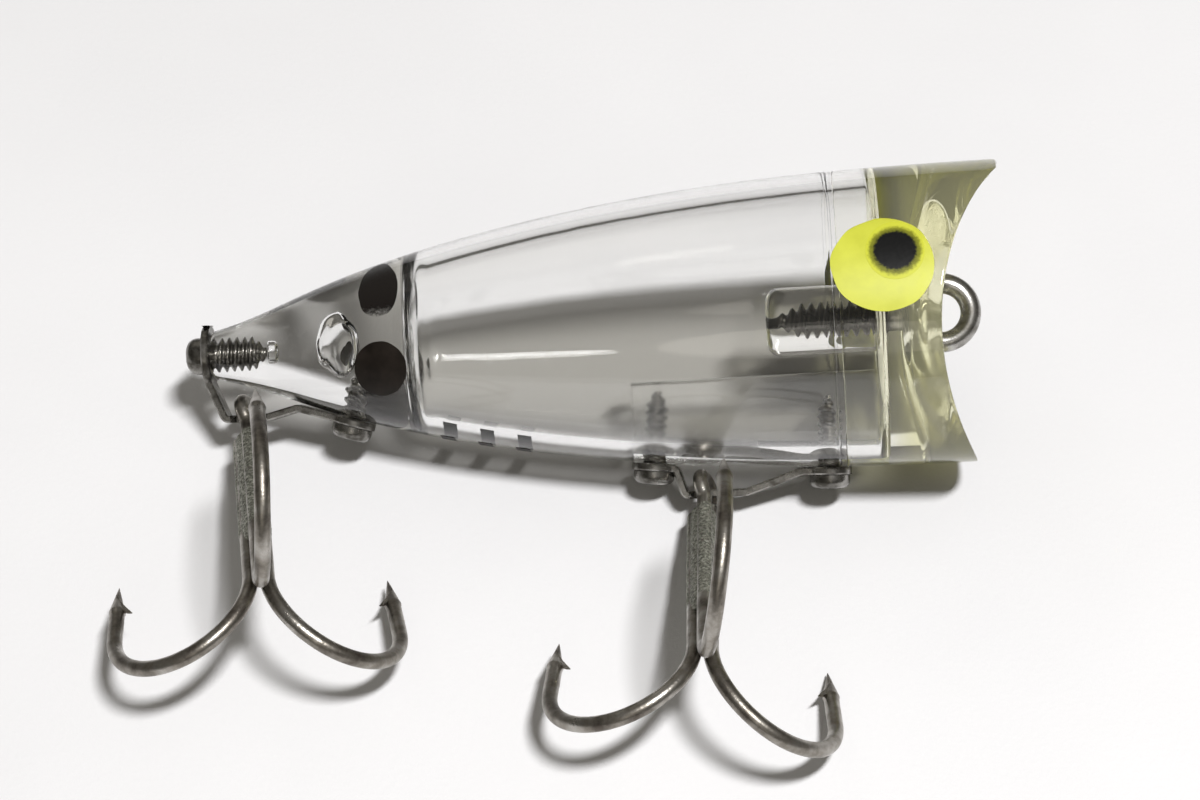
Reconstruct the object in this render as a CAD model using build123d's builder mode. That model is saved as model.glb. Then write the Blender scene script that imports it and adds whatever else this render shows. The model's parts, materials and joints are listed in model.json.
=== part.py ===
"""A clear topwater popper: a hollow cup-faced body with a line tie and two treble hooks, lying on its side.

Every piece is modelled in the lure's own frame: X runs from the tail to the lips, Z towards the back of
the fish, and Y to its left. At the end the whole lure is laid down as it lies on a table, with its belly
turned down and towards -Y, so that the saved pieces have +Z up and stand on Z = 0.
"""

import os
from math import atan2, cos, degrees, radians, sin, sqrt

from build123d import *

# Body, in mm
body_length = 64.0
largest_radius = 12.03
tail_radius = 1.93
tail_edge_rounding = 0.5
# outside radius at a few stations from the tail to the lips
stations = [
    (0.0, tail_radius),
    (3.6, 2.95),
    (8.5, 4.81),
    (15.0, 6.88),
    (24.8, 9.11),
    (37.8, 10.98),
    (50.8, 11.85),
    (body_length, largest_radius),
]
seam_x = 50.8
wall = 1.6
chamber_rear_x = 16.5
chamber_front_x = 54.3
chamber_rear_rounding = 1.6
chamber_front_rounding = 0.9
rib_rear_x = 34.0
rib_width = 3.9
rib_top_z = -4.2

# Mouth: a barrel-shaped cut, rounder up and down than it is sideways
cup_axis_x = 68.9
cup_axis_z = -0.9
cup_radius = 13.4
cup_side_radius = 24.5
cup_half_width = 16.0

# Socket between the shell and the head
socket_length = 2.6
socket_gap = 0.05
socket_wall = 1.0
socket_flange = 1.2
rib_side_gap = 0.1

# Line tie: a closed screw eye in a boss behind the cup
boss_radius = 2.75
boss_rear_x = 45.0
boss_rounding = 1.1
tie_wire = 1.65
tie_thread_radius = 0.875
tie_thread_rear_x = 45.7
tie_thread_front_x = 54.9
tie_ring_x = 59.0
tie_ring_radius = 2.35
tie_worn_radius = 1.55

# Hook hangers: stamped strip, held by pan-head screws
strip = 0.6
strip_width = 2.4
strip_neck_width = 0.9
strip_bend = 0.45
pad_radius = 1.8
tab_radius = 2.45
screw_radius = 0.9
screw_head_radius = 1.65
screw_head_height = 1.1
belly_screw_depth = 6.4
belly_screws_x = (35.4, 49.4)
tail_screw_x = 11.3
tail_screw_depth = 5.2
end_screw_head_radius = 1.5
end_screw_head_height = 1.5
end_screw_depth = 5.7
pilot_extra = 1.0

# Treble hooks
hook_wire = 1.2
eye_radius = 1.5
arm_bend_radius = 5.9
arm_bend_angle = 184.0
arm_depth = 27.5
arm_rise = 12.5
point_length = 3.4
point_tip_radius = 0.05
double_offset = 0.73
single_offset = 0.73
eye_throat_radius = 1.2
eye_bottom_z = -2.6
single_top_z = -3.0
braze_radius = 0.45
braze_cap_radius = 0.7
braze_cap_rise = 0.35
braze_bottom_z = -17.5

# Paint
paint = 0.08
eye_centre = (54.2, 3.7)
eye_size = (7.9, 7.2)
pupil_centre = (55.25, 4.75)
pupil_radius = 1.95
lower_spot_centre = (14.5, -1.95)
lower_spot_radius = 2.15
upper_spot_centre = (14.5, 4.3)
upper_spot_size = (3.3, 4.4)
belly_bars_x = (19.0, 22.0, 25.0)
belly_bar_size = (1.1, 4.2)

# How the lure lies
roll = 49.0
pitch = 5.0
belly_swing = 61.0
tail_swing = 57.0
belly_twist = -19.0
tail_twist = -21.5
tail_lean = -9.3

# Hook pivots, below the belly
hook_clear = 0.12
hook_wire_radius = hook_wire / 2
eye_outer_radius = eye_radius + hook_wire_radius
belly_hinge_x = 39.5
tail_hinge_x = 2.8

outline = Spline(*stations, tangents=[(1, 0.2), (1, 0)])


def radius_at(x):
    """Outside radius of the body at a station."""
    low, high = 0.0, 1.0
    for _ in range(40):
        middle = (low + high) / 2
        if (outline @ middle).X < x:
            low = middle
        else:
            high = middle
    return (outline @ low).Y


def slope_at(x):
    """Angle in degrees by which the outside widens towards the nose."""
    step = 0.05
    return degrees(atan2(radius_at(x + step) - radius_at(x - step), 2 * step))


def belly_place(x):
    """Place on the belly line, with its own Z square to the surface and pointing out of the body."""
    return Pos(x, 0, -radius_at(x)) * Rot(0, slope_at(x), 0) * Rot(180, 0, 0)


belly_hinge_z = -radius_at(belly_hinge_x + 1) - hook_clear - eye_outer_radius
tail_hinge_z = -radius_at(tail_hinge_x + 1) - hook_clear - eye_outer_radius


def pan_head_screw(head_radius, head_height, shank_radius, depth):
    """A cross-recess screw whose head's underside is at Z = 0 and whose shank runs down -Z."""
    tip_length = 1.2
    with BuildPart() as screw:
        Cylinder(head_radius, head_height, align=(Align.CENTER, Align.CENTER, Align.MIN))
        fillet(screw.edges().group_by(Axis.Z)[-1], 0.45 * head_height)
        with Locations((0, 0, head_height)):
            Box(2.2 * head_radius * 0.6, 0.4, head_height, mode=Mode.SUBTRACT)
            Box(0.4, 2.2 * head_radius * 0.6, head_height, mode=Mode.SUBTRACT)
        with Locations((0, 0, -(depth - tip_length) / 2)):
            Cylinder(shank_radius, depth - tip_length)
        with Locations((0, 0, -depth + tip_length / 2)):
            Cone(0.25, shank_radius, tip_length)
    return screw.part


def cut_screw_hole(place, depth):
    """Cut the hole of a screw at this place out of the piece being built."""
    start = 1.0
    with Locations(place * Pos(0, 0, (start - depth) / 2)):
        Cylinder(screw_radius, depth + start, mode=Mode.SUBTRACT)


def add_pad(place, radius):
    """A round pad of the strip's thickness, under the screw head at this place."""
    with Locations(place * Pos(0, 0, -strip / 2)):
        Cylinder(radius, strip)


# Where each screw's head sits, with local Z out of the body
belly_screw_places = [belly_place(x) * Pos(0, 0, strip) for x in belly_screws_x]
tail_screw_place = belly_place(tail_screw_x) * Pos(0, 0, strip)
end_screw_place = Pos(-strip, 0, 0) * Rot(0, -90, 0)

# The full outside form, from which the shell and the head are cut
with BuildPart() as whole_form:
    with BuildSketch():
        with BuildLine():
            add(outline)
            Polyline((body_length, largest_radius), (body_length, 0), (0, 0), (0, tail_radius))
        make_face()
    revolve(axis=Axis.X)
    fillet(whole_form.edges().group_by(Axis.X)[0], tail_edge_rounding)

# The air chamber, with the belly rib left out of it
chamber_stations = [(x, radius_at(x) - wall) for x in (chamber_rear_x, 26.0, 40.0, chamber_front_x)]
with BuildPart() as chamber:
    with BuildSketch() as chamber_profile:
        with BuildLine():
            Spline(*chamber_stations)
            Polyline(chamber_stations[-1], (chamber_front_x, 0), (chamber_rear_x, 0), chamber_stations[0])
        make_face()
    revolve(axis=Axis.X)
    fillet(chamber.edges().group_by(Axis.X)[0], chamber_rear_rounding)
    fillet(chamber.edges().group_by(Axis.X)[-1], chamber_front_rounding)
    with Locations(((rib_rear_x + chamber_front_x) / 2, 0, rib_top_z - 10)):
        Box(chamber_front_x - rib_rear_x, rib_width, 20, mode=Mode.SUBTRACT)

with BuildPart() as body_shell:
    add(whole_form.part)
    add(chamber.part, mode=Mode.SUBTRACT)
    split(bisect_by=Plane.YZ.offset(seam_x), keep=Keep.BOTTOM)
    for place in belly_screw_places:
        cut_screw_hole(place, belly_screw_depth)
    cut_screw_hole(tail_screw_place, tail_screw_depth + pilot_extra)
    cut_screw_hole(end_screw_place, end_screw_depth + pilot_extra)

# The barrel that the mouth is cut with
with BuildPart() as mouth:
    with BuildSketch(Plane.XY.offset(cup_axis_z)):
        side_depth = cup_side_radius - sqrt(cup_side_radius**2 - cup_half_width**2)
        deepest_x = cup_axis_x - cup_radius
        with BuildLine():
            ThreePointArc(
                (deepest_x + side_depth, -cup_half_width),
                (deepest_x, 0),
                (deepest_x + side_depth, cup_half_width),
            )
            Polyline(
                (deepest_x + side_depth, cup_half_width),
                (cup_axis_x, cup_half_width),
                (cup_axis_x, -cup_half_width),
                (deepest_x + side_depth, -cup_half_width),
            )
        make_face()
    revolve(axis=Axis((cup_axis_x, 0, cup_axis_z), (0, 1, 0)))

# The blind boss that the line tie screws into
with BuildPart() as boss:
    with BuildSketch(Plane.YZ.offset(boss_rear_x)):
        Circle(boss_radius)
    extrude(amount=deepest_x - boss_rear_x)
    fillet(boss.edges().group_by(Axis.X)[0], boss_rounding)

socket_outer_radius = radius_at(seam_x - socket_length) - wall - socket_gap
socket_inner_radius = socket_outer_radius - socket_wall
with BuildPart() as head_cup:
    add(whole_form.part)
    split(bisect_by=Plane.YZ.offset(seam_x), keep=Keep.TOP)
    add(chamber.part, mode=Mode.SUBTRACT)
    with BuildSketch(Plane.YZ.offset(seam_x - socket_length)):
        Circle(socket_outer_radius)
        Circle(socket_inner_radius, mode=Mode.SUBTRACT)
        with Locations((0, -socket_outer_radius)):
            Rectangle(rib_width + 2 * rib_side_gap, 4, mode=Mode.SUBTRACT)
    extrude(amount=socket_length)
    with BuildSketch(Plane.YZ.offset(seam_x)):
        Circle(socket_outer_radius + socket_wall / 2)
        Circle(socket_inner_radius, mode=Mode.SUBTRACT)
    extrude(amount=socket_flange)
    add(boss.part)
    add(mouth.part, mode=Mode.SUBTRACT)
    with BuildSketch(Plane.YZ.offset(tie_thread_rear_x)):
        Circle(tie_thread_radius)
    extrude(amount=cup_axis_x - tie_thread_rear_x, mode=Mode.SUBTRACT)

with BuildPart() as line_tie:
    with BuildSketch(Plane.YZ.offset(tie_thread_rear_x)):
        Circle(tie_thread_radius)
    extrude(amount=tie_thread_front_x - tie_thread_rear_x)
    with BuildSketch(Plane.YZ.offset(tie_thread_front_x)):
        Circle(tie_wire / 2)
    extrude(amount=tie_ring_x - tie_ring_radius - tie_thread_front_x)
    with Locations(Location((tie_ring_x, 0, 0), (90, 0, 0))):
        Torus(tie_ring_radius, tie_wire / 2)
        Cylinder(tie_worn_radius, 2 * tie_wire, mode=Mode.SUBTRACT)


def strip_along(points, width):
    """A strip bent along a line in the lure's middle plane, centred on the line."""
    with BuildPart() as bent:
        with BuildSketch(Plane.XZ):
            with BuildLine():
                FilletPolyline(*points, radius=strip_bend)
            trace(line_width=strip)
        extrude(amount=width / 2, both=True)
    return bent.part


def on_belly(x, along=0.0):
    """A point in the middle of a strip that lies on the belly, moved along the surface."""
    angle = radians(slope_at(x))
    out = strip / 2
    return (x - out * sin(angle) + along * cos(angle), -radius_at(x) - out * cos(angle) - along * sin(angle))


rear_x, front_x = belly_screws_x
with BuildPart() as belly_hanger:
    add(
        strip_along(
            [
                on_belly(rear_x, -pad_radius),
                on_belly(rear_x, 1.75),
                (belly_hinge_x - 1.75, belly_hinge_z),
                (belly_hinge_x + 3.2, belly_hinge_z),
                on_belly(front_x, -2.2),
                on_belly(front_x, pad_radius),
            ],
            strip_width,
        )
    )
    for side in (-1, 1):
        with Locations((belly_hinge_x, side * (strip_neck_width / 2 + 1), belly_hinge_z)):
            Box(2.9, 2, 1.0, mode=Mode.SUBTRACT)
    for place in belly_screw_places:
        add_pad(place, pad_radius)
        cut_screw_hole(place, belly_screw_depth)

with BuildPart() as tail_hanger:
    add(
        strip_along(
            [
                (-strip / 2, 0),
                (-strip / 2, -tail_radius - 0.3),
                (tail_hinge_x - 1.9, tail_hinge_z),
                (tail_hinge_x + 1.6, tail_hinge_z),
                on_belly(tail_screw_x, -4.6),
                on_belly(tail_screw_x, pad_radius),
            ],
            strip_width,
        )
    )
    for side in (-1, 1):
        with Locations((tail_hinge_x, side * (strip_neck_width / 2 + 1), tail_hinge_z)):
            Box(2.9, 2, 1.0, mode=Mode.SUBTRACT)
    for place, radius in ((tail_screw_place, pad_radius), (end_screw_place, tab_radius)):
        add_pad(place, radius)
        cut_screw_hole(place, tail_screw_depth)

belly_screw = pan_head_screw(screw_head_radius, screw_head_height, screw_radius, belly_screw_depth)
tail_screw = pan_head_screw(screw_head_radius, screw_head_height, screw_radius, tail_screw_depth)
end_screw = pan_head_screw(end_screw_head_radius, end_screw_head_height, screw_radius, end_screw_depth)


def hook_arm(offset, top_z):
    """One arm of a treble in the XZ plane: straight shank at X = offset, round bend out to +X, barbed point."""
    bend_top_z = -(arm_depth - arm_bend_radius)
    with BuildPart() as arm:
        with BuildLine(Plane.XZ) as wire:
            Line((offset, top_z), (offset, bend_top_z))
            bend = JernArc((offset, bend_top_z), (0, -1), arm_bend_radius, arm_bend_angle)
            Line(bend @ 1, bend @ 1 + (arm_rise - arm_bend_radius - point_length) * (bend % 1))
        path = wire.wires()[0]
        with BuildSketch(Plane(path @ 0, z_dir=path % 0)):
            Circle(hook_wire_radius)
        sweep(path=path)
        with Locations(Plane(path @ 1, z_dir=path % 1).location):
            Cone(
                hook_wire_radius,
                point_tip_radius,
                point_length,
                align=(Align.CENTER, Align.CENTER, Align.MIN),
            )
        # the barb, cut up from the wire on the side that faces the shank
        tip = path @ 1
        with BuildSketch(Plane.XZ):
            with BuildLine():
                Polyline(
                    (tip.X - 0.1, tip.Z + 1.3),
                    (tip.X - hook_wire_radius - 0.55, tip.Z - 0.5),
                    (tip.X - 0.1, tip.Z - 0.3),
                    close=True,
                )
            make_face()
        extrude(amount=0.17, both=True)
    return arm.part


double_arm = hook_arm(double_offset, eye_bottom_z)
single_arm = hook_arm(single_offset, single_top_z)
shank_x = -double_offset * cos(radians(60))
double_y = double_offset * sin(radians(60))

# The eye is bent out of the middle of the double hook's wire: up one leg, round, and down the other
throat_y = double_y + eye_throat_radius
throat_reach = eye_radius + eye_throat_radius
throat_z = -sqrt(throat_reach**2 - throat_y**2)
throat_angle = degrees(atan2(-throat_z, throat_y))
with BuildPart() as treble_eye:
    with BuildLine(Plane.YZ) as eye_wire:
        leg = Line((-double_y, eye_bottom_z), (-double_y, throat_z))
        throat = JernArc(leg @ 1, (0, 1), eye_throat_radius, throat_angle)
        ring = JernArc(throat @ 1, throat % 1, eye_radius, -(180 + 2 * throat_angle))
        JernArc(ring @ 1, ring % 1, eye_throat_radius, throat_angle)
        Line((double_y, throat_z), (double_y, eye_bottom_z))
    eye_path = eye_wire.wires()[0]
    with BuildSketch(Plane(eye_path @ 0, z_dir=eye_path % 0)):
        Circle(hook_wire_radius)
    sweep(path=eye_path)

# A treble hangs from the middle of its eye, down -Z; its single hook is brazed on at the -X side
with BuildPart() as treble_double:
    add(treble_eye.part)
    for angle in (60, -60):
        add(Pos(shank_x, 0, 0) * Rot(0, 0, angle) * double_arm)

with BuildPart() as treble_single:
    add(Pos(shank_x, 0, 0) * Rot(0, 0, 180) * single_arm)

single_x = shank_x - single_offset
groove_x = single_x / 2 - 0.3
groove_y = double_y / 2 + 0.52
braze_length = single_top_z - braze_bottom_z
with BuildPart() as treble_braze:
    for side in (-1, 1):
        with Locations((groove_x, side * groove_y, single_top_z - braze_length / 2)):
            Cylinder(braze_radius, braze_length)
    with Locations((single_x, 0, single_top_z)):
        Cylinder(braze_cap_radius, 2 * braze_cap_rise)
    add(treble_double.part, mode=Mode.SUBTRACT)
    add(treble_single.part, mode=Mode.SUBTRACT)


def skin(lower, upper):
    """A closed skin round the body, between two heights above its surface."""
    with BuildPart() as coat:
        with BuildSketch():
            for height, mode in ((upper, Mode.ADD), (lower, Mode.SUBTRACT)):
                with BuildLine(mode=Mode.PRIVATE) as edge:
                    Spline(*[(x, r + height) for x, r in stations], tangents=[(1, 0.2), (1, 0)])
                    Polyline(
                        (body_length, largest_radius + height),
                        (body_length, 0),
                        (0, 0),
                        (0, tail_radius + height),
                    )
                make_face(edge.edges(), mode=mode)
        revolve(axis=Axis.X)
    return coat.part


base_coat = skin(0, paint)
second_coat = skin(paint, 2 * paint)


def flank_patch(coat, centre, size, side):
    """Paint inside an oval seen square from one side; side is 1 for the left and -1 for the right."""
    with BuildPart() as patch:
        with BuildSketch(Plane.XZ):
            with Locations(centre):
                Ellipse(size[0] / 2, size[1] / 2)
        extrude(amount=-side * 20)
        add(coat, mode=Mode.INTERSECT)
    return patch.part


def flank_spots(side):
    """The two black spots near the tail on one side."""
    round_size = (2 * lower_spot_radius, 2 * lower_spot_radius)
    return [
        flank_patch(base_coat, lower_spot_centre, round_size, side),
        flank_patch(base_coat, upper_spot_centre, upper_spot_size, side),
    ]


with BuildPart() as belly_bars:
    with BuildSketch(Plane.XY):
        for x in belly_bars_x:
            with Locations((x, 0)):
                Rectangle(*belly_bar_size)
    extrude(amount=-20)
    add(base_coat, mode=Mode.INTERSECT)

pupil_size = (2 * pupil_radius, 2 * pupil_radius)
belly_hook_place = Pos(belly_hinge_x, 0, belly_hinge_z) * Rot(-belly_swing, 0, 0) * Rot(0, 0, belly_twist)
tail_hook_turn = Rot(-tail_swing, 0, 0) * Rot(0, tail_lean, 0) * Rot(0, 0, tail_twist)
tail_hook_place = Pos(tail_hinge_x, 0, tail_hinge_z) * tail_hook_turn

pieces = {
    "body_shell": body_shell.part,
    "head_cup": head_cup.part,
    "line_tie": line_tie.part,
    "belly_hanger": belly_hanger.part,
    "belly_screw_rear": belly_screw_places[0] * belly_screw,
    "belly_screw_front": belly_screw_places[1] * belly_screw,
    "tail_hanger": tail_hanger.part,
    "tail_belly_screw": tail_screw_place * tail_screw,
    "tail_end_screw": end_screw_place * end_screw,
    "belly_hook_double": belly_hook_place * treble_double.part,
    "belly_hook_single": belly_hook_place * treble_single.part,
    "belly_hook_braze": belly_hook_place * treble_braze.part,
    "tail_hook_double": tail_hook_place * treble_double.part,
    "tail_hook_single": tail_hook_place * treble_single.part,
    "tail_hook_braze": tail_hook_place * treble_braze.part,
    "belly_bars": belly_bars.part,
}
for name, side in (("right", -1), ("left", 1)):
    pieces[f"{name}_eye"] = flank_patch(base_coat, eye_centre, eye_size, side)
    pieces[f"{name}_pupil"] = flank_patch(second_coat, pupil_centre, pupil_size, side)
    lower_spot, upper_spot = flank_spots(side)
    pieces[f"{name}_lower_spot"] = lower_spot
    pieces[f"{name}_upper_spot"] = upper_spot

# Lay the lure down, with the middle of its footprint at the origin
tilt = Rot(0, -pitch, 0) * Rot(-roll, 0, 0)
outside = [point for piece in pieces.values() for point in (tilt * piece).tessellate(0.01)[0]]
low_x, high_x = min(point.X for point in outside), max(point.X for point in outside)
low_y, high_y = min(point.Y for point in outside), max(point.Y for point in outside)
low_z = min(point.Z for point in outside)
lying = Pos(-(low_x + high_x) / 2, -(low_y + high_y) / 2, -low_z) * tilt

os.makedirs("parts", exist_ok=True)
for name, piece in pieces.items():
    laid = lying * piece
    laid.label = name
    export_step(laid, f"parts/{name}.step")

# Places that the record names, in mm in the lying frame
for place_name, x, z in (
    ("line_tie", tie_ring_x, 0),
    ("belly_hinge", belly_hinge_x, belly_hinge_z),
    ("tail_hinge", tail_hinge_x, tail_hinge_z),
):
    print(place_name, *(lying * Pos(x, 0, z)).position)
for axis_name, direction in (("long_axis", (1, 0, 0)), ("left_axis", (0, 1, 0))):
    print(axis_name, *((lying * Pos(*direction)).position - lying.position))
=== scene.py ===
import json
from math import asin, atan2, cos, degrees, pi, radians, sin, sqrt, tan

import bpy
import numpy as np
from mathutils import Matrix, Vector, noise


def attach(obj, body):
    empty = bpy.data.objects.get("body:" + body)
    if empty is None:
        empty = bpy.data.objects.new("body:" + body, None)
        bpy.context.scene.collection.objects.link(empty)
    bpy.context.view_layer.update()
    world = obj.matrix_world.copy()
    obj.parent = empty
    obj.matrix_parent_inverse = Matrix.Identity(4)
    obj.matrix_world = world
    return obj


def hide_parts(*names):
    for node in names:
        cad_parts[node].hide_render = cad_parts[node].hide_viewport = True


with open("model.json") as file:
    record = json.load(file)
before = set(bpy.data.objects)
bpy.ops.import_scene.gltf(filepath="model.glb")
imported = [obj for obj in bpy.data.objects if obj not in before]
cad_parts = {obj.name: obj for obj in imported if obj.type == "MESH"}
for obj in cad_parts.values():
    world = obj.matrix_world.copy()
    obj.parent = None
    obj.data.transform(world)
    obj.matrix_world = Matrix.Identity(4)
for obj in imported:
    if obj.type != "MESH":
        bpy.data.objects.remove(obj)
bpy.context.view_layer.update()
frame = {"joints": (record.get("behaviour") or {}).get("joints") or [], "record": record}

# The lure's own frame, in mm: X from the tail to the lips, Z towards the fish's back, Y to its left.
# The line tie's ring and the hinge axes in the record say where that frame lies in the row's.
MM = 0.001
TIE_RING_X = 59.0
joints = {joint["name"]: joint for joint in frame["joints"]}
tie_mount = next(m for m in frame["record"]["mounts"] if m["name"] == "line_tie")
nose_axis = Vector(joints["belly_hook_swing"]["axis"]).normalized()
left_axis = Vector(tie_mount["axis"]).normalized()
back_axis = nose_axis.cross(left_axis)
lure_turn = Matrix((nose_axis, left_axis, back_axis)).transposed()
lure_origin = Vector(tie_mount["pos_m"]) - nose_axis * TIE_RING_X * MM
LURE = Matrix.Translation(lure_origin) @ lure_turn.to_4x4() @ Matrix.Scale(MM, 4)
FROM_ROW = LURE.inverted()
belly_hinge = FROM_ROW @ Vector(joints["belly_hook_swing"]["pos_m"])
tail_hinge = FROM_ROW @ Vector(joints["tail_hook_swing"]["pos_m"])

# ---------------------------------------------------------------- sizes, in mm
BODY_LENGTH = 64.0
TAIL_RADIUS = 1.93
LARGEST_RADIUS = 12.03
STATIONS = [
    (0.0, TAIL_RADIUS),
    (3.6, 2.95),
    (8.5, 4.81),
    (15.0, 6.88),
    (24.8, 9.11),
    (37.8, 10.98),
    (50.8, 11.85),
    (BODY_LENGTH, LARGEST_RADIUS),
]
# how fast the outside widens at the tail
TAIL_SLOPE = 0.2
TAIL_ROUNDING = 0.5
SEAM_X = 50.8
LAP = 0.5
SEAM_GAP = 0.04
BOSS_FOOT = 0.4
WALL = 1.6
CHAMBER_REAR_X = 16.5
CHAMBER_FRONT_X = 54.3
REAR_ROUNDING = 1.6
FRONT_ROUNDING = 0.9
RIB_REAR_X = 34.0
RIB_HALF_WIDTH = 1.95
RIB_TOP_Z = -4.2
RIB_CORNER = 0.35
RIB_FOOT_RADIUS = 10.2
RIB_OUTER_EDGE = 9.9
CORNER_OUTER_EDGE = 6.3
BOSS_RADIUS = 2.75
BOSS_REAR_X = 45.0
BOSS_ROUNDING = 1.1
CUP_AXIS_X = 68.9
CUP_AXIS_Z = -0.9
CUP_RADIUS = 13.4
CUP_SIDE_RADIUS = 24.5
LIP_ROUNDING = 0.42

STRIP = 0.6
STRIP_WIDTH = 2.4
STRIP_BEND = 0.45
STRIP_EDGE = 0.12
NECK_WIDTH = 0.9
NECK_LENGTH = 2.9
PAD_RADIUS = 1.8
TAB_RADIUS = 2.45
BELLY_SCREWS_X = (35.4, 49.4)
TAIL_SCREW_X = 11.3
BELLY_SCREW_DEPTH = 6.4
TAIL_SCREW_DEPTH = 5.2
END_SCREW_DEPTH = 5.7
PAN_HEAD = (1.65, 1.1)
END_HEAD = (1.5, 1.5)
SCREW_ROOT = 0.66
SCREW_CREST = 0.93
SCREW_PITCH = 0.67
SCREW_TIP = 1.2
CROSS_REACH = 0.62
CROSS_HALF_WIDTH = 0.24
CROSS_DEPTH = 0.5
PILOT_RADIUS = 0.62
PILOT_EXTRA = 1.0
BUBBLE_CENTRE = (11.1, 0.0, 0.2)
BUBBLE_RADII = (1.75, 1.35, 1.7)
TIE_WIRE = 1.65
TIE_RING_RADIUS = 2.35
TIE_RING_TURN = 318
TIE_THREAD_REAR_X = 45.7
TIE_THREAD_FRONT_X = 54.9
TIE_ROOT = 0.62
TIE_CREST = 0.98
TIE_PITCH = 0.78

HOOK_WIRE = 1.2
EYE_RADIUS = 1.5
THROAT_RADIUS = 1.2
EYE_BOTTOM_Z = -2.6
SINGLE_TOP_Z = -3.0
BRAZE_BOTTOM_Z = -17.5
BRAZE_GROOVE = 0.17
ON_SHANK_ANGLE = 26.8
ARM_OFFSET = 0.73
SHANKS_MIDDLE = ARM_OFFSET * cos(radians(60))
ARM_BEND_RADIUS = 5.9
ARM_BEND_ANGLE = 184.0
ARM_DEPTH = 27.5
ARM_RISE = 12.5
POINT_LENGTH = 3.4
BARB_ROOT = 1.9
BARB_DROP = 0.55
BARB_REACH = 0.8
BELLY_SWING = 61.0
TAIL_SWING = 57.0
BELLY_TWIST = -19.0
TAIL_TWIST = -21.5
TAIL_LEAN = -9.3

PAINT_ABOVE = 0.04
PAINT_BELOW = 0.02
EYE_CENTRE = (54.2, 3.7)
EYE_SIZE = (7.9, 7.2)
PUPIL_CENTRE = (55.25, 4.75)
PUPIL_SIZE = (4.5, 4.5)
PUPIL_CORE = 1.5
PUPIL_HAZE = 2.22
PUPIL_LIFT = 0.035
LOWER_SPOT_CENTRE = (14.5, -1.95)
LOWER_SPOT_SIZE = (4.3, 4.3)
UPPER_SPOT_CENTRE = (14.5, 4.3)
UPPER_SPOT_SIZE = (3.3, 4.4)
BELLY_BARS_X = (19.0, 22.0, 25.0)
BAR_SIZE = (1.1, 4.2)

# ---------------------------------------------------------------- looks, table, light and camera, in metres
YELLOW = (0.57, 0.59, 0.052)
# painted shade: the eye paint's face towards the plastic, darker than the yellow
YELLOW_UNDERSIDE_PAINTED_SHADE = (0.33, 0.33, 0.06)
BLACK = (0.006, 0.006, 0.006)
PLASTIC_IOR = 1.48
FROST_ROUGHNESS = 0.14
DULL_SPECULAR = 0.2
# share of the light that falls through, by how edge-on the surface is
HOLLOW_SHADOW = ((0.0, 1.0), (0.2, 0.93), (0.42, 0.62), (0.8, 0.2))
SOLID_SHADOW = ((0.0, 0.97), (0.15, 0.84), (0.35, 0.4), (0.7, 0.1))
SPECK_SPREAD = 0.0005
FADE_SPREAD = 0.0016

TABLE_Z = -0.00002
TABLE_HALF = 0.9
TABLE_STEPS = 12
LIT_POINT = Vector((0, 0, 0.008))
SKY = [(0.0, (0.30, 0.28, 0.24)), (0.35, (0.62, 0.59, 0.52)), (0.9, (0.9, 0.87, 0.8))]
SKY_STRENGTH = 0.22
WARM = (1.0, 0.95, 0.86)
CAMERA_ELEVATION = radians(49.0)
CAMERA_DISTANCE = 0.25
SENSOR_WIDTH = 36.0
FRAME_WIDTH = 97.56 * MM
TAIL_LEFT_OF_MIDDLE = 31.46 * MM
TAIL_ABOVE_MIDDLE = 3.6 * MM

# ---------------------------------------------------------------- points round the body
AROUND = 256
RIB_SIDE_POINTS = 18
RIB_CORNER_POINTS = 4
RIB_TOP_POINTS = 5
RIB_POINTS = 2 * RIB_SIDE_POINTS + 2 * RIB_CORNER_POINTS + RIB_TOP_POINTS

# ---------------------------------------------------------------- outline of the body


def cubic_through(points, first_slope, last_slope):
    """A smooth curve through the points, as a function, with the given slopes at its ends."""
    xs, ys = (np.array(values, float) for values in zip(*points))
    steps, rises = np.diff(xs), np.diff(ys)
    count = len(xs)
    matrix, right = np.zeros((count, count)), np.zeros(count)
    matrix[0, 0] = matrix[-1, -1] = 1
    right[0], right[-1] = first_slope, last_slope
    for i in range(1, count - 1):
        matrix[i, i - 1], matrix[i, i + 1] = 1 / steps[i - 1], 1 / steps[i]
        matrix[i, i] = 2 * (1 / steps[i - 1] + 1 / steps[i])
        right[i] = 3 * (rises[i - 1] / steps[i - 1] ** 2 + rises[i] / steps[i] ** 2)
    slopes = np.linalg.solve(matrix, right)

    def curve(x):
        i = int(np.clip(np.searchsorted(xs, x) - 1, 0, count - 2))
        t, h = (x - xs[i]) / steps[i], steps[i]
        start, end = ys[i], ys[i + 1]
        return (
            (1 + 2 * t) * (1 - t) ** 2 * start
            + t * (1 - t) ** 2 * h * slopes[i]
            + t * t * (3 - 2 * t) * end
            + t * t * (t - 1) * h * slopes[i + 1]
        )

    return curve


radius_at = cubic_through(STATIONS, TAIL_SLOPE, 0.0)


def slope_at(x):
    """How fast the outside widens towards the nose."""
    return (radius_at(x + 0.05) - radius_at(x - 0.05)) / 0.1


# ---------------------------------------------------------------- meshes from loops


def loft(loops):
    """Vertices and faces of a tube through loops of equally many points, closed at both ends."""
    size = len(loops[0])
    points = [tuple(p) for loop in loops for p in loop]
    faces = []
    for i in range(len(loops) - 1):
        for j in range(size):
            k = (j + 1) % size
            faces.append((i * size + j, i * size + k, (i + 1) * size + k, (i + 1) * size + j))
    faces.append(tuple(reversed(range(size))))
    last = (len(loops) - 1) * size
    faces.append(tuple(last + j for j in range(size)))
    return points, faces


def joined(*solids):
    """One set of vertices and faces from several."""
    points, faces = [], []
    for more_points, more_faces in solids:
        base = len(points)
        points += more_points
        faces += [tuple(base + i for i in face) for face in more_faces]
    return points, faces


def turned_inside_out(solid):
    """The same surface facing the other way."""
    points, faces = solid
    return points, [tuple(reversed(face)) for face in faces]


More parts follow.
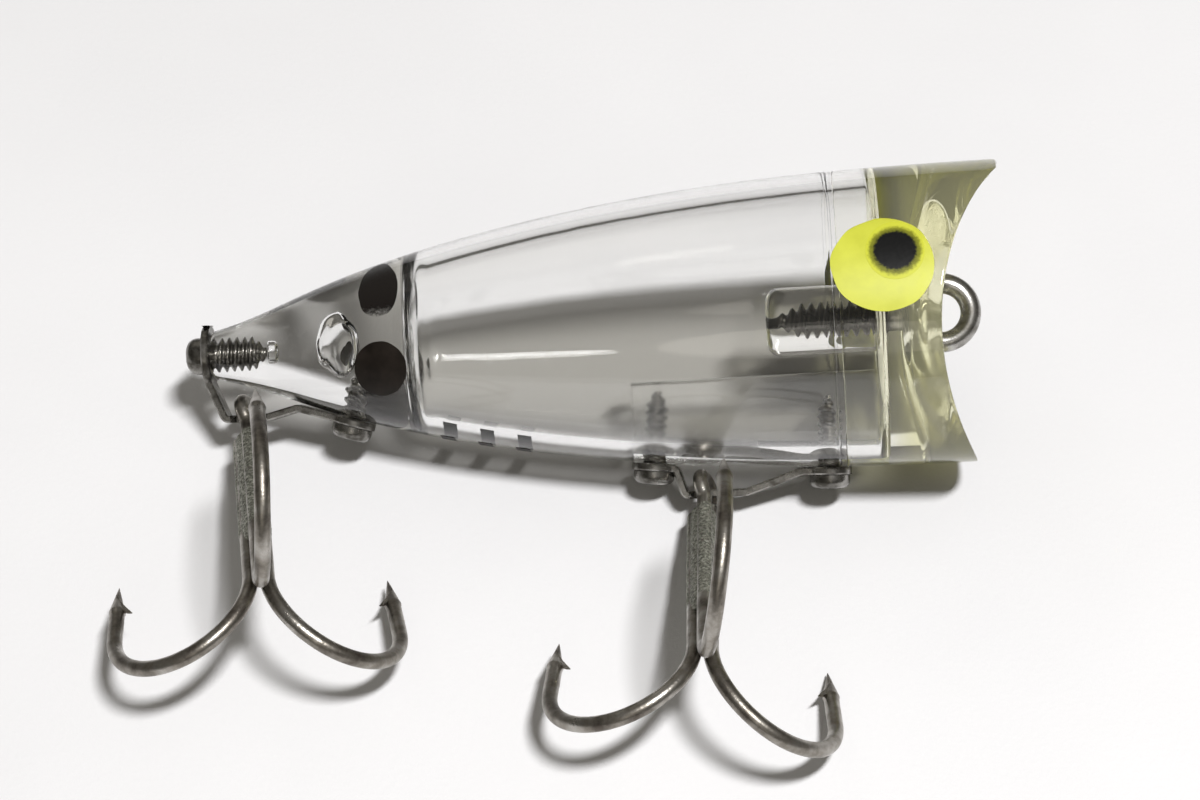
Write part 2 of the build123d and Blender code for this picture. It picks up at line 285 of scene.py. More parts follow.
def placed(solid, matrix):
    """The same surface moved by a matrix."""
    points, faces = solid
    return [tuple(matrix @ Vector(p)) for p in points], faces


def piece(name, solid, material, body, nodes, place=LURE, sharp_above=35.0):
    """A Blender object made from a surface in mm, riding on a CAD body in place of its CAD nodes."""
    points, faces = solid
    mesh = bpy.data.meshes.new(name)
    mesh.from_pydata([tuple(p) for p in points], [], faces)
    mesh.transform(place)
    mesh.update()
    mesh.shade_smooth()
    mesh.set_sharp_from_angle(angle=radians(sharp_above))
    made = bpy.data.objects.new(name, mesh)
    bpy.context.scene.collection.objects.link(made)
    mesh.materials.append(material)
    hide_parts(*nodes)
    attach(made, body)
    return made


def body_angles():
    """Angles round the body, measured from the belly, with the rib's points first."""
    base = asin(RIB_HALF_WIDTH / RIB_FOOT_RADIUS)
    rib = np.linspace(-base, base, RIB_POINTS)
    rest = AROUND - RIB_POINTS
    others = base + (2 * pi - 2 * base) * np.arange(1, rest + 1) / (rest + 1)
    return np.concatenate((rib, others))


def turns_round(sides):
    """Angles once round, starting at 0."""
    return np.linspace(0, 2 * pi, sides + 1)[:-1]


ANGLES = body_angles()


def ring_at(x, radius):
    """A circle round the lure's axis."""
    return [(x, radius * sin(a), -radius * cos(a)) for a in ANGLES]


def rib_ring_at(x, radius):
    """A circle round the lure's axis that steps over the belly rib."""
    low_z = -sqrt(radius**2 - RIB_HALF_WIDTH**2)
    side = [(-RIB_HALF_WIDTH, z) for z in np.linspace(low_z, RIB_TOP_Z - RIB_CORNER, RIB_SIDE_POINTS)]
    corner = []
    for i in range(RIB_CORNER_POINTS):
        turn = radians(90) * (i + 0.5) / RIB_CORNER_POINTS
        corner.append(
            (
                -RIB_HALF_WIDTH + RIB_CORNER * (1 - cos(turn)),
                RIB_TOP_Z - RIB_CORNER * (1 - sin(turn)),
            )
        )
    half_top = RIB_HALF_WIDTH - RIB_CORNER
    top = [(y, RIB_TOP_Z) for y in np.linspace(-half_top, half_top, RIB_TOP_POINTS)]
    mirrored = [(-y, z) for y, z in reversed(side + corner)]
    rib = side + corner + top + mirrored
    circle = [(radius * sin(a), -radius * cos(a)) for a in ANGLES[RIB_POINTS:]]
    return [(x, y, z) for y, z in rib + circle]


def outer_rings(start_x, end_x, step=0.5):
    """Rings of the outside surface between two stations."""
    count = max(2, int(round((end_x - start_x) / step)) + 1)
    return [ring_at(x, radius_at(x)) for x in np.linspace(start_x, end_x, count)]


def chamber_radius_at(x):
    return radius_at(x) - WALL


def quarter(steps=6):
    """Angles from 0 to 90 degrees."""
    return [radians(90) * i / steps for i in range(steps + 1)]


def pocket(start, direction, radius, length):
    """An air pocket: a blind, round-ended hole."""
    along = Vector(direction).normalized()
    across = along.orthogonal().normalized()
    third = along.cross(across)
    dome = radius * 0.7
    profile = [(0.0, 0.02), (0.0, radius * 0.9), (radius * 0.15, radius), (length - dome, radius)]
    profile += [(length - dome * (1 - sin(t)), max(0.02, radius * cos(t))) for t in quarter()[1:]]
    loops = []
    for distance, r in profile:
        centre = Vector(start) + along * distance
        loops.append([centre + (across * cos(a) + third * sin(a)) * r for a in turns_round(32)])
    return turned_inside_out(loft(loops))


def pilot_end(place, depth):
    """The air left in a screw's pilot hole beyond its tip."""
    start = place @ Vector((0, 0, -depth - 0.05))
    return pocket(start, place.to_3x3() @ Vector((0, 0, -1)), PILOT_RADIUS, PILOT_EXTRA)


def bubble(centre, radii, seed, around=40, across=24):
    """A smooth irregular air bubble trapped in the moulding."""
    loops = []
    for t in np.linspace(0.02, pi - 0.02, across):
        loop = []
        for a in turns_round(around):
            way = Vector((sin(t) * cos(a), sin(t) * sin(a), cos(t)))
            swell = 1 + 0.16 * noise.noise(way * 1.3 + Vector((seed, 0, 0)))
            loop.append([c + r * w * swell for c, r, w in zip(centre, radii, way)])
        loops.append(loop)
    return loft(loops)


# ---------------------------------------------------------------- the clear body and head


def body_shell_rings():
    """From the middle of the tail's end, along the outside to the seam, and back inside the chamber."""
    rings = [ring_at(0.0, r) for r in (0.03, 0.5, TAIL_RADIUS - TAIL_ROUNDING)]
    for turn in quarter()[1:]:
        x = TAIL_ROUNDING * (1 - cos(turn))
        rings.append(ring_at(x, radius_at(x) - TAIL_ROUNDING * (1 - sin(turn))))
    rings += outer_rings(TAIL_ROUNDING + 0.3, SEAM_X - LAP - 0.2)
    edge = radius_at(SEAM_X)
    for back, drop in ((0.07, 0.0), (0.02, 0.02), (0.0, 0.05)):
        rings.append(ring_at(SEAM_X - LAP - back, edge - drop))
    rings.append(ring_at(SEAM_X - SEAM_GAP, edge - 0.05))
    for x in np.linspace(SEAM_X - SEAM_GAP, RIB_REAR_X, 40):
        rings.append(rib_ring_at(x, chamber_radius_at(x)))
    for x in np.linspace(RIB_REAR_X - 0.01, CHAMBER_REAR_X + REAR_ROUNDING, 40):
        rings.append(ring_at(x, chamber_radius_at(x)))
    corner = chamber_radius_at(CHAMBER_REAR_X + REAR_ROUNDING) - REAR_ROUNDING
    for turn in quarter(10)[1:]:
        x = CHAMBER_REAR_X + REAR_ROUNDING * (1 - sin(turn))
        rings.append(ring_at(x, corner + REAR_ROUNDING * cos(turn)))
    rings += [ring_at(CHAMBER_REAR_X, r) for r in (2.5, 0.03)]
    return rings


def mouth_x(y, z):
    """How far forward the scooped face of the mouth lies."""
    reach = sqrt(CUP_SIDE_RADIUS**2 - y * y) - (CUP_SIDE_RADIUS - CUP_RADIUS)
    return CUP_AXIS_X - sqrt(max(0.01, reach * reach - (z - CUP_AXIS_Z) ** 2))


def lip_x(angle):
    """Where the outside of the head meets the mouth, at one angle round it."""
    x = BODY_LENGTH
    for _ in range(8):
        radius = radius_at(x)
        x = min(BODY_LENGTH, mouth_x(radius * sin(angle), -radius * cos(angle)))
    return x


def head_rings():
    """From the middle of the boss's end, round the chamber's front, along the outside and over the lips."""
    rings = [ring_at(BOSS_REAR_X, 0.03)]
    flat = BOSS_RADIUS - BOSS_ROUNDING
    rings.append(ring_at(BOSS_REAR_X, 0.6 * flat))
    for turn in quarter(8):
        x = BOSS_REAR_X + BOSS_ROUNDING * (1 - cos(turn))
        rings.append(ring_at(x, flat + BOSS_ROUNDING * sin(turn)))
    boss_front_x = CHAMBER_FRONT_X - BOSS_FOOT
    rings += [ring_at(x, BOSS_RADIUS) for x in np.linspace(BOSS_REAR_X + 2, boss_front_x, 10)]
    for turn in quarter()[1:]:
        x = CHAMBER_FRONT_X - BOSS_FOOT * (1 - sin(turn))
        rings.append(ring_at(x, BOSS_RADIUS + BOSS_FOOT * (1 - cos(turn))))
    wall_radius = chamber_radius_at(CHAMBER_FRONT_X)
    rings.append(ring_at(CHAMBER_FRONT_X, 3.9))
    rings.append(rib_ring_at(CHAMBER_FRONT_X, wall_radius - FRONT_ROUNDING))
    for turn in quarter()[1:]:
        x = CHAMBER_FRONT_X - FRONT_ROUNDING * (1 - cos(turn))
        rings.append(rib_ring_at(x, wall_radius - FRONT_ROUNDING * (1 - sin(turn))))
    for x in np.linspace(CHAMBER_FRONT_X - FRONT_ROUNDING, SEAM_X, 7)[1:]:
        rings.append(rib_ring_at(x, chamber_radius_at(x)))
    edge = radius_at(SEAM_X)
    for drop, forward in ((0.05, 0.0), (0.02, 0.02), (0.0, 0.07)):
        rings.append(ring_at(SEAM_X + forward, edge - drop))
    lips = [lip_x(a) for a in ANGLES]
    start = SEAM_X + 0.3
    for share in np.linspace(0, 1, 26):
        ring = []
        for a, lip in zip(ANGLES, lips):
            x = start + (lip - LIP_ROUNDING - start) * share
            ring.append((x, radius_at(x) * sin(a), -radius_at(x) * cos(a)))
        rings.append(ring)
    corners, inner = [], []
    for a, lip in zip(ANGLES, lips):
        corners.append(Vector((lip, radius_at(lip) * sin(a), -radius_at(lip) * cos(a))))
        radius = radius_at(lip) - LIP_ROUNDING
        y, z = radius * sin(a), -radius * cos(a)
        inner.append(Vector((min(mouth_x(y, z), BODY_LENGTH), y, z)))
    outer = [Vector(p) for p in rings[-1]]
    for t in (0.17, 0.33, 0.5, 0.67, 0.83, 1.0):
        blend = zip(outer, corners, inner)
        rings.append([(1 - t) ** 2 * p + 2 * t * (1 - t) * q + t * t * r for p, q, r in blend])
    for share in np.linspace(1, 0.003, 34)[1:]:
        ring = []
        for p in inner:
            y, z = p.y * share, p.z * share
            ring.append((min(mouth_x(y, z), BODY_LENGTH), y, z))
        rings.append(ring)
    return rings


# ---------------------------------------------------------------- metal shapes


def arc_points(start, heading, radius, turn, steps):
    """Points of an arc in a plane, and its heading at the end; angles in degrees, positive to the left."""
    side = 1 if turn > 0 else -1
    start_angle = radians(heading - 90 * side)
    centre = (start[0] - radius * cos(start_angle), start[1] - radius * sin(start_angle))
    points = []
    for i in range(1, steps + 1):
        a = start_angle + radians(turn) * i / steps
        points.append((centre[0] + radius * cos(a), centre[1] + radius * sin(a)))
    return points, heading + turn


def line_points(start, end, steps):
    """Points along a line, without its start."""
    start, way = np.array(start), np.array(end) - np.array(start)
    return [tuple(start + way * i / steps) for i in range(1, steps + 1)]


def rounded(points, radius, steps=6):
    """A line through points in a plane with its corners rounded."""
    path = [points[0]]
    for before, corner, after in zip(points, points[1:], points[2:]):
        back = (Vector(before) - Vector(corner)).normalized()
        ahead = (Vector(after) - Vector(corner)).normalized()
        turn = pi - back.angle(ahead)
        reach = radius * tan(turn / 2)
        start, end = Vector(corner) + back * reach, Vector(corner) + ahead * reach
        for i in range(steps + 1):
            t = i / steps
            point = (1 - t) ** 2 * start + 2 * t * (1 - t) * Vector(corner) + t * t * end
            path.append(tuple(point))
    path.append(points[-1])
    return path


def evenly(path, step):
    """The same path with points a step apart, and the distance of each along it."""
    path = np.array(path, float)
    lengths = np.concatenate(([0], np.cumsum(np.linalg.norm(np.diff(path, axis=0), axis=1))))
    count = int(lengths[-1] / step) + 1
    at = np.linspace(0, lengths[-1], count + 1)
    return list(zip(np.interp(at, lengths, path[:, 0]), np.interp(at, lengths, path[:, 1]))), at


def swept(path, section_at):
    """A closed solid along a path in the XZ plane; section_at(i) gives (in-plane, along Y) offsets."""
    path = [np.array(p, float) for p in path]
    loops = []
    for i, point in enumerate(path):
        tangent = path[min(i + 1, len(path) - 1)] - path[max(i - 1, 0)]
        tangent = tangent / np.linalg.norm(tangent)
        normal = np.array((-tangent[1], tangent[0]))
        loops.append([(*(point + normal * p), q) for p, q in section_at(i)])
    return loft([[(x, y, z) for x, z, y in loop] for loop in loops])


def circle(radius, sides=24):
    return [(radius * cos(a), -radius * sin(a)) for a in turns_round(sides)]


def wire_along(path, radius_of, sides=24):
    """Round wire along a path in the XZ plane, with a radius that may change along it."""
    return swept(path, lambda i: circle(radius_of(i), sides))


def with_round_ends(path, radius, steps=5):
    """A wire whose two ends are rounded over."""
    start, end = Vector(path[0]), Vector(path[-1])
    first = (start - Vector(path[1])).normalized()
    last = (end - Vector(path[-2])).normalized()

    def cap(point, way):
        turns = quarter(steps)[1:]
        return [(tuple(point + way * radius * 0.6 * sin(t)), radius * max(0.05, cos(t))) for t in turns]

    whole = cap(start, first)[::-1] + [(p, radius) for p in path] + cap(end, last)
    return wire_along([p for p, _ in whole], lambda i: whole[i][1])


def thread_height(angle, along, pitch):
    """0 at a thread's root and 1 at its crest."""
    phase = (along / pitch + angle / (2 * pi)) % 1.0
    return min(1.0, max(0.0, 1.35 - 3.4 * abs(phase - 0.5)))


def threaded(length, root, crest, pitch, tip, sides=48, rings_a_turn=12):
    """Loops of a threaded shank, from its tip at Z = -length up to Z = 0."""
    turns = turns_round(sides)
    loops = [[(0.02 * cos(a), 0.02 * sin(a), -length) for a in turns]]
    for z in np.arange(-length + 0.02, 0.001, pitch / rings_a_turn):
        taper = min(1.0, 0.28 + 0.72 * (z + length) / tip)
        loop = []
        for a in turns:
            r = (root + (crest - root) * thread_height(a, z, pitch)) * taper
            loop.append((r * cos(a), r * sin(a), z))
        loops.append(loop)
    return loops


def screw(head_radius, head_height, depth, sides=72):
    """A pan-head screw with a cross recess: head's underside at Z = 0, thread down to Z = -depth."""
    loops = threaded(depth, SCREW_ROOT, SCREW_CREST, SCREW_PITCH, SCREW_TIP, sides)
    rounding = 0.6 * head_height
    side_top, shoulder = head_height - rounding, head_radius - rounding
    profile = [(SCREW_ROOT, 0.0), (head_radius - 0.06, 0.0), (head_radius, 0.06), (head_radius, side_top)]
    profile += [(shoulder + rounding * cos(t), side_top + rounding * sin(t)) for t in quarter(8)[1:]]
    profile += [(shoulder * s, head_height + 0.05 * (1 - s * s)) for s in np.linspace(1, 0.02, 22)[1:]]
    for r, z in profile:
        loop = []
        for a in turns_round(sides):
            x, y = r * cos(a), r * sin(a)
            sunk = 0.0
            if z > head_height - 0.3:
                for u, v in ((x, y), (y, x)):
                    along, across = CROSS_REACH * head_radius - abs(u), CROSS_HALF_WIDTH - abs(v)
                    inside = min(along / 0.15, across / 0.10)
                    sunk = max(sunk, CROSS_DEPTH * min(1.0, max(0.0, inside)))
            loop.append((x, y, z - sunk))
        loops.append(loop)
    return loft(loops)


def strip_solid(corners, pads, necks):
    """A stamped strip bent along a line in the lure's middle plane, with round pads and narrow necks."""
    path, at = evenly(rounded(corners, STRIP_BEND), 0.1)

    def distance_to(spot):
        return at[int(np.argmin(np.linalg.norm(np.array(path) - np.array(spot), axis=1)))]

    pad_spots = [(distance_to(centre), radius) for centre, radius in pads]
    neck_spots = [distance_to(centre) for centre in necks]

    def half_width(i):
        s = at[i]
        half = STRIP_WIDTH / 2
        for centre, radius in pad_spots:
            away = abs(s - centre)
            past_end = s < pad_spots[0][0] or s > pad_spots[-1][0]
            if away < radius:
                arc = sqrt(radius**2 - away**2)
                half = arc if past_end else max(half, arc)
            elif past_end and away < radius + 0.01:
                half = 0.05
        for centre in neck_spots:
            inside = (NECK_LENGTH / 2 - abs(s - centre)) / 0.35
            share = min(1.0, max(0.0, inside))
            half += (NECK_WIDTH / 2 - half) * share
        return max(0.06, half)

    def section(i):
        half, thick, edge = half_width(i), STRIP / 2, STRIP_EDGE
        corners_of = (
            (thick - edge, half),
            (thick, half - edge),
            (thick, edge - half),
            (thick - edge, -half),
            (edge - thick, -half),
            (-thick, edge - half),
            (-thick, half - edge),
            (edge - thick, half),
        )
        return [(p, max(-half, min(half, q))) for p, q in corners_of]

    return swept(path, section)


def belly_matrix(x):
    """A place on the belly line with its Z square to the surface and pointing out."""
    turn = Matrix.Rotation(atan2(slope_at(x), 1), 4, "Y") @ Matrix.Rotation(pi, 4, "X")
    return Matrix.Translation((x, 0, -radius_at(x))) @ turn


def on_belly(x, along=0.0):
    """A point in the middle of a strip that lies on the belly, moved along the surface."""
    angle = atan2(slope_at(x), 1)
    out = STRIP / 2
    return (x - out * sin(angle) + along * cos(angle), -radius_at(x) - out * cos(angle) - along * sin(angle))


def line_tie_solid():
    """A screw eye: threaded shank, then wire that swings out and round into a ring."""
    loops = threaded(TIE_THREAD_FRONT_X - TIE_THREAD_REAR_X, TIE_ROOT, TIE_CREST, TIE_PITCH, 2.2)
    place = Matrix.Translation((TIE_THREAD_FRONT_X, 0, 0)) @ Matrix.Rotation(radians(90), 4, "Y")
    shank = placed(loft(loops), place)
    start = (TIE_THREAD_FRONT_X - 0.4, 0.0)
    path = [start] + line_points(start, (TIE_RING_X - TIE_RING_RADIUS - 0.62, 0.0), 6)
    low, _ = arc_points(path[-1], 0.0, 1.0, -58.0, 8)
    path += low
    ring_start = atan2(low[-1][1], low[-1][0] - TIE_RING_X)
    first = sqrt((low[-1][0] - TIE_RING_X) ** 2 + low[-1][1] ** 2)
    for i in range(1, 65):
        a = ring_start + radians(TIE_RING_TURN) * i / 64
        settle = min(1.0, i / 10)
        r = first + (TIE_RING_RADIUS - first) * settle
        path.append((TIE_RING_X + r * cos(a), r * sin(a)))
    return joined(shank, with_round_ends(path, TIE_WIRE / 2))


def hook_arm(top_z, turn):
    """One arm of a treble: straight shank, round bend, and a ground point with a barb cut up inside it."""
    path = [(ARM_OFFSET, top_z)]
    bend_z = -(ARM_DEPTH - ARM_BEND_RADIUS)
    path += line_points(path[-1], (ARM_OFFSET, bend_z), 40)
    bend, heading = arc_points(path[-1], -90.0, ARM_BEND_RADIUS, ARM_BEND_ANGLE, 48)
    path += bend
    along = np.array((cos(radians(heading)), sin(radians(heading))))
    point_start = np.array(path[-1]) + along * (ARM_RISE - ARM_BEND_RADIUS - POINT_LENGTH)
    path += line_points(path[-1], tuple(point_start), 8)
    plain = len(path)
    path += line_points(path[-1], tuple(point_start + along * POINT_LENGTH), 16)
    wire = HOOK_WIRE / 2

    def radius(i):
        if i < plain:
            return wire
        t = (i - plain + 1) / (len(path) - plain)
        return wire * (1.12 - 0.12 * t) * (1 - t) ** 0.92 + 0.03

    arm = wire_along(path, radius)
    inward = np.array((-along[1], along[0]))
    root = point_start + along * BARB_ROOT + inward * 0.05
    tip = point_start - along * BARB_DROP + inward * (wire + BARB_REACH)
    loops = []
    for t in np.linspace(0, 1, 12):
        middle = root + (tip - root) * t - inward * 0.12 * sin(pi * t)
        deep = along * (0.95 * (1 - t) ** 0.9 + 0.04)
        flat = 0.36 * (1 - t) ** 0.7 + 0.02
        lower, upper = middle - deep, middle + 0.3 * deep
        loops.append([(*lower, -flat * 0.8), (*lower, flat * 0.8), (*upper, flat), (*upper, -flat)])
    barb = turned_inside_out(loft([[(x, y, z) for x, z, y in loop] for loop in loops]))
    place = Matrix.Translation((-SHANKS_MIDDLE, 0, 0)) @ Matrix.Rotation(radians(turn), 4, "Z")
    return placed(joined(arm, barb), place)


def hook_eye():
    """The eye, bent out of the middle of the double hook's wire."""
    double_y, low_z = ARM_OFFSET * sin(radians(60)), EYE_BOTTOM_Z - 1.0
    throat_y = double_y + THROAT_RADIUS
    throat_z = -sqrt((EYE_RADIUS + THROAT_RADIUS) ** 2 - throat_y**2)
    throat_turn = degrees(atan2(-throat_z, throat_y))
    path = [(-double_y, low_z), (-double_y, throat_z)]
    throat, heading = arc_points(path[-1], 90.0, THROAT_RADIUS, throat_turn, 10)
    ring, heading = arc_points(throat[-1], heading, EYE_RADIUS, -(180 + 2 * throat_turn), 48)
    other, _ = arc_points(ring[-1], heading, THROAT_RADIUS, throat_turn, 10)
    path += throat + ring + other + [(double_y, low_z)]
    solid = wire_along(path, lambda i: HOOK_WIRE / 2)
    return placed(solid, Matrix.Rotation(radians(90), 4, "Z"))


def braze_solid():
    """Braze that fills the grooves between the three shanks and coats them, rough and pitted."""
    wire, flat = HOOK_WIRE / 2, SHANKS_MIDDLE + HOOK_WIRE / 2
    loops = []
    for z in np.arange(BRAZE_BOTTOM_Z, SINGLE_TOP_Z + 0.01, 0.08):
        ends = min(1.0, (z - BRAZE_BOTTOM_Z) / 1.6, (SINGLE_TOP_Z + 0.3 - z) / 0.5)
        loop = []
        for a in turns_round(96):
            off = abs((degrees(a) % 120) - 60)
            if off < ON_SHANK_ANGLE:
                reach = ARM_OFFSET * cos(radians(off))
                hull = reach + sqrt(wire**2 - (ARM_OFFSET * sin(radians(off))) ** 2)
            else:
                hull = flat / cos(radians(60 - off))
            spot = Vector((hull * cos(a), hull * sin(a), z * 0.7))
            groove = BRAZE_GROOVE * cos(radians(off * 1.5)) ** 2 if off > ON_SHANK_ANGLE else 0.0
            rough = noise.noise(spot * 1.1) * 0.05 + noise.noise(spot * 5.5) * 0.035
            pits = -0.16 * max(0.0, noise.noise(spot * 4.1 + Vector((7, 3, 1))) - 0.28)
            r = (hull - groove + 0.04 + rough + pits) * (0.72 + 0.28 * sqrt(max(0.0, ends)))
            loop.append((r * cos(a) - SHANKS_MIDDLE, r * sin(a), z))
        loops.append(loop)
    return loft(loops)


# ---------------------------------------------------------------- paint


def flank_point(x, z, side, height):
    """A point on one flank, at a height above the outside surface."""
    radius = radius_at(x) + height
    return (x, side * sqrt(max(0.0, radius * radius - z * z)), z)


def flank_paint(outline_at, centre, side, rings=22, around=120):
    """A thin closed skin on one flank inside an outline given as (x, z) by angle."""
    shares = [0.01] + list(np.linspace(0, 1, rings)[1:])

    def loop_at(share, height):
        spots = [outline_at(a) for a in turns_round(around)]
        scaled = [[c + (value - c) * share for value, c in zip(spot, centre)] for spot in spots]
        return [flank_point(x, z, side, height) for x, z in scaled]

    loops = [loop_at(share, PAINT_ABOVE - 0.01 * share**6) for share in shares]
    loops.append(loop_at(1.004, (PAINT_ABOVE - PAINT_BELOW) / 2))
    loops += [loop_at(share, -PAINT_BELOW) for share in reversed(shares)]
    solid = loft(loops)
    return turned_inside_out(solid) if side < 0 else solid


def oval(centre, size, lean=0.0, ragged=0.0, seed=0.0):
    """Outline of an oval, slightly egg-shaped towards the nose by lean, with a hand-sprayed edge."""

    def outline_at(a):
        wobble = 1 + ragged * noise.noise(Vector((2.2 * cos(a), 2.2 * sin(a), seed)))
        x = size[0] / 2 * cos(a) * wobble
        z = size[1] / 2 * sin(a) * (1 + lean * cos(a)) * wobble
        return (centre[0] + x, centre[1] + z)

    return outline_at


def belly_bar(x):
    """A printed bar across the belly."""
    length, width = BAR_SIZE
    ys = np.linspace(-width / 2, width / 2, 25)

    def edge(height, end):
        radius = radius_at(x + end) + height
        return [(x + end, y, -sqrt(radius * radius - y * y)) for y in ys]

    loops = []
    for share in np.linspace(-1, 1, 7):
        end = share * length / 2
        top, bottom = edge(PAINT_ABOVE, end), edge(-PAINT_BELOW, end)
        loops.append(top + bottom[::-1])
    return loft(loops)


# ---------------------------------------------------------------- materials


def feed(tree, socket, value):
    """Link an output to a socket, or set the socket to a number, a vector or a colour."""
    if isinstance(value, bpy.types.NodeSocket):
        tree.links.new(value, socket)
    else:
        socket.default_value = (*value, 1.0) if socket.type == "RGBA" else value


def new_node(tree, kind, properties, inputs):
    """A node with its properties set and its inputs fed, by name or number."""
    made = tree.nodes.new(kind)
    for name, value in properties.items():
        setattr(made, name, value)
    for name, value in inputs.items():
        feed(tree, made.inputs[name], value)
    return made


def new_material(name):
    """A material, its node tree and its shader."""
    made = bpy.data.materials.new(name)
    made.use_nodes = True
    return made, made.node_tree, made.node_tree.nodes["Principled BSDF"]


def object_point(tree):
    """Where each point lies on its piece."""
    return tree.nodes.new("ShaderNodeTexCoord").outputs["Object"]


def object_noise(tree, scale, detail=3.0, roughness=0.55):
    """Noise fixed to the piece; the scale is in features per metre."""
    inputs = {"Vector": object_point(tree), "Scale": scale, "Detail": detail, "Roughness": roughness}
    return new_node(tree, "ShaderNodeTexNoise", {}, inputs).outputs["Fac"]


def ramp(tree, source, stops, kind="LINEAR"):
    """A colour ramp fed by a value; stops are (position, colour)."""
    made = new_node(tree, "ShaderNodeValToRGB", {}, {"Fac": source})
    made.color_ramp.interpolation = kind
    elements = made.color_ramp.elements
    while len(elements) < len(stops):
        elements.new(0.5)
    for element, (position, colour) in zip(elements, stops):
        element.position = position
        element.color = (*colour, 1.0)
    return made.outputs["Color"]


def ranged(tree, source, low, high, from_low=0.3, from_high=0.7):
    """A value stretched between two limits."""
    inputs = {"Value": source, "From Min": from_low, "From Max": from_high, "To Min": low, "To Max": high}
    return new_node(tree, "ShaderNodeMapRange", {}, inputs).outputs["Result"]


def bumped(tree, shader, source, depth):
    """Bump of a depth in metres."""
    bump = new_node(tree, "ShaderNodeBump", {}, {"Strength": 1.0, "Distance": depth, "Height": source})
    feed(tree, shader.inputs["Normal"], bump.outputs["Normal"])


def computed(tree, operation, *values):
    """A number worked out from numbers or outputs."""
    inputs = dict(enumerate(values))
    return new_node(tree, "ShaderNodeMath", {"operation": operation}, inputs).outputs[0]


def vectors(tree, operation, *values):
    """The outputs of a vector maths node."""
    inputs = dict(enumerate(values))
    return new_node(tree, "ShaderNodeVectorMath", {"operation": operation}, inputs).outputs


def mixed(tree, share, one, other, blend="MIX"):
    """One colour mixed with another, or multiplied by it; each is a colour or an output."""
    properties = {"data_type": "RGBA", "blend_type": blend}
    inputs = {"Factor": share, "A": one, "B": other}
    return new_node(tree, "ShaderNodeMix", properties, inputs).outputs["Result"]


def from_tail(tree):
    """Where each point lies from the tail's end."""
    return vectors(tree, "SUBTRACT", object_point(tree), lure_origin)["Vector"]


def along_axis(tree, axis):
    """How far each point lies from the tail's end along one of the lure's axes."""
    return vectors(tree, "DOT_PRODUCT", from_tail(tree), axis)["Value"]


def from_long_axis(tree):
    """How far each point lies from the lure's long axis."""
    sideways = vectors(tree, "CROSS_PRODUCT", from_tail(tree), nose_axis)["Vector"]
    return vectors(tree, "LENGTH", sideways)["Value"]


def frosted_areas(tree):
    """1 on the matt moulded faces: the rib's sides and the rounded rear corner of the chamber."""
    along, away = along_axis(tree, nose_axis), from_long_axis(tree)
    on_rib = computed(tree, "GREATER_THAN", along, (RIB_REAR_X - 0.1) * MM)
    low = computed(tree, "LESS_THAN", along_axis(tree, back_axis), (RIB_TOP_Z + 0.1) * MM)
    inner = computed(tree, "LESS_THAN", away, RIB_OUTER_EDGE * MM)
    rib = computed(tree, "MULTIPLY", computed(tree, "MULTIPLY", on_rib, low), inner)
    start, end = CHAMBER_REAR_X + 0.5 * REAR_ROUNDING, CHAMBER_REAR_X + 2.2
    rear = ranged(tree, along, 1.0, 0.0, start * MM, end * MM)
    past = computed(tree, "GREATER_THAN", along, (CHAMBER_REAR_X - 0.1) * MM)
    near_axis = computed(tree, "LESS_THAN", away, CORNER_OUTER_EDGE * MM)
    corner = computed(tree, "MULTIPLY", computed(tree, "MULTIPLY", rear, past), near_axis)
    return computed(tree, "MAXIMUM", rib, corner)


def clear_plastic(name, tint, shadow_tint, front_tint, front_haze):
    """Moulded acrylic: clear, with faint flow waves and hairline marks, yellowed where the head is solid.

    Light that falls through it, and light it passes on to other surfaces, goes straight through, with a
    dark rim where a real lens-shaped body throws the light aside.
    """
    made, tree, shader = new_material(name)
    shader.inputs["IOR"].default_value = PLASTIC_IOR
    hairlines = ranged(tree, object_noise(tree, 900.0, 4.0, 0.6), 0.0, 0.035, 0.52, 0.75)
    frosted = computed(tree, "MULTIPLY", frosted_areas(tree), FROST_ROUGHNESS)
    feed(tree, shader.inputs["Roughness"], computed(tree, "ADD", hairlines, frosted))
    along = along_axis(tree, nose_axis)
    front = ranged(tree, along, 0.0, 1.0, (CHAMBER_FRONT_X - 0.3) * MM, (CHAMBER_FRONT_X + 2.0) * MM)
    yellowing = ramp(tree, front, [(0.0, (1.0, 1.0, 1.0)), (1.0, front_tint)])
    feed(tree, shader.inputs["Base Color"], mixed(tree, 1.0, tint, yellowing, "MULTIPLY"))
    clearness = ranged(tree, front, 1.0, 1.0 - front_haze, 0.0, 1.0)
    feed(tree, shader.inputs["Transmission Weight"], clearness)
    bumped(tree, shader, object_noise(tree, 260.0, 1.0), 0.000012)
    rays = tree.nodes.new("ShaderNodeLightPath").outputs
    lighting = computed(tree, "MAXIMUM", rays["Is Shadow Ray"], rays["Is Diffuse Ray"])
    facing = new_node(tree, "ShaderNodeLayerWeight", {}, {"Blend": 0.5}).outputs["Facing"]
    tail = ranged(tree, along, 1.0, 0.0, (CHAMBER_REAR_X - 0.5) * MM, (CHAMBER_REAR_X + 1.0) * MM)
    hollow, solid = (
        ramp(tree, facing, [(position, tuple(c * share for c in shadow_tint)) for position, share in shares])
        for shares in (HOLLOW_SHADOW, SOLID_SHADOW)
    )
    shadow = mixed(tree, computed(tree, "MAXIMUM", tail, front), hollow, solid)
    shade = mixed(tree, 1.0, shadow, yellowing, "MULTIPLY")
    through = new_node(tree, "ShaderNodeBsdfTransparent", {}, {"Color": shade}).outputs[0]
    inputs = {0: lighting, 1: shader.outputs[0], 2: through}
    choice = new_node(tree, "ShaderNodeMixShader", {}, inputs).outputs[0]
    feed(tree, tree.nodes["Material Output"].inputs["Surface"], choice)
    return made


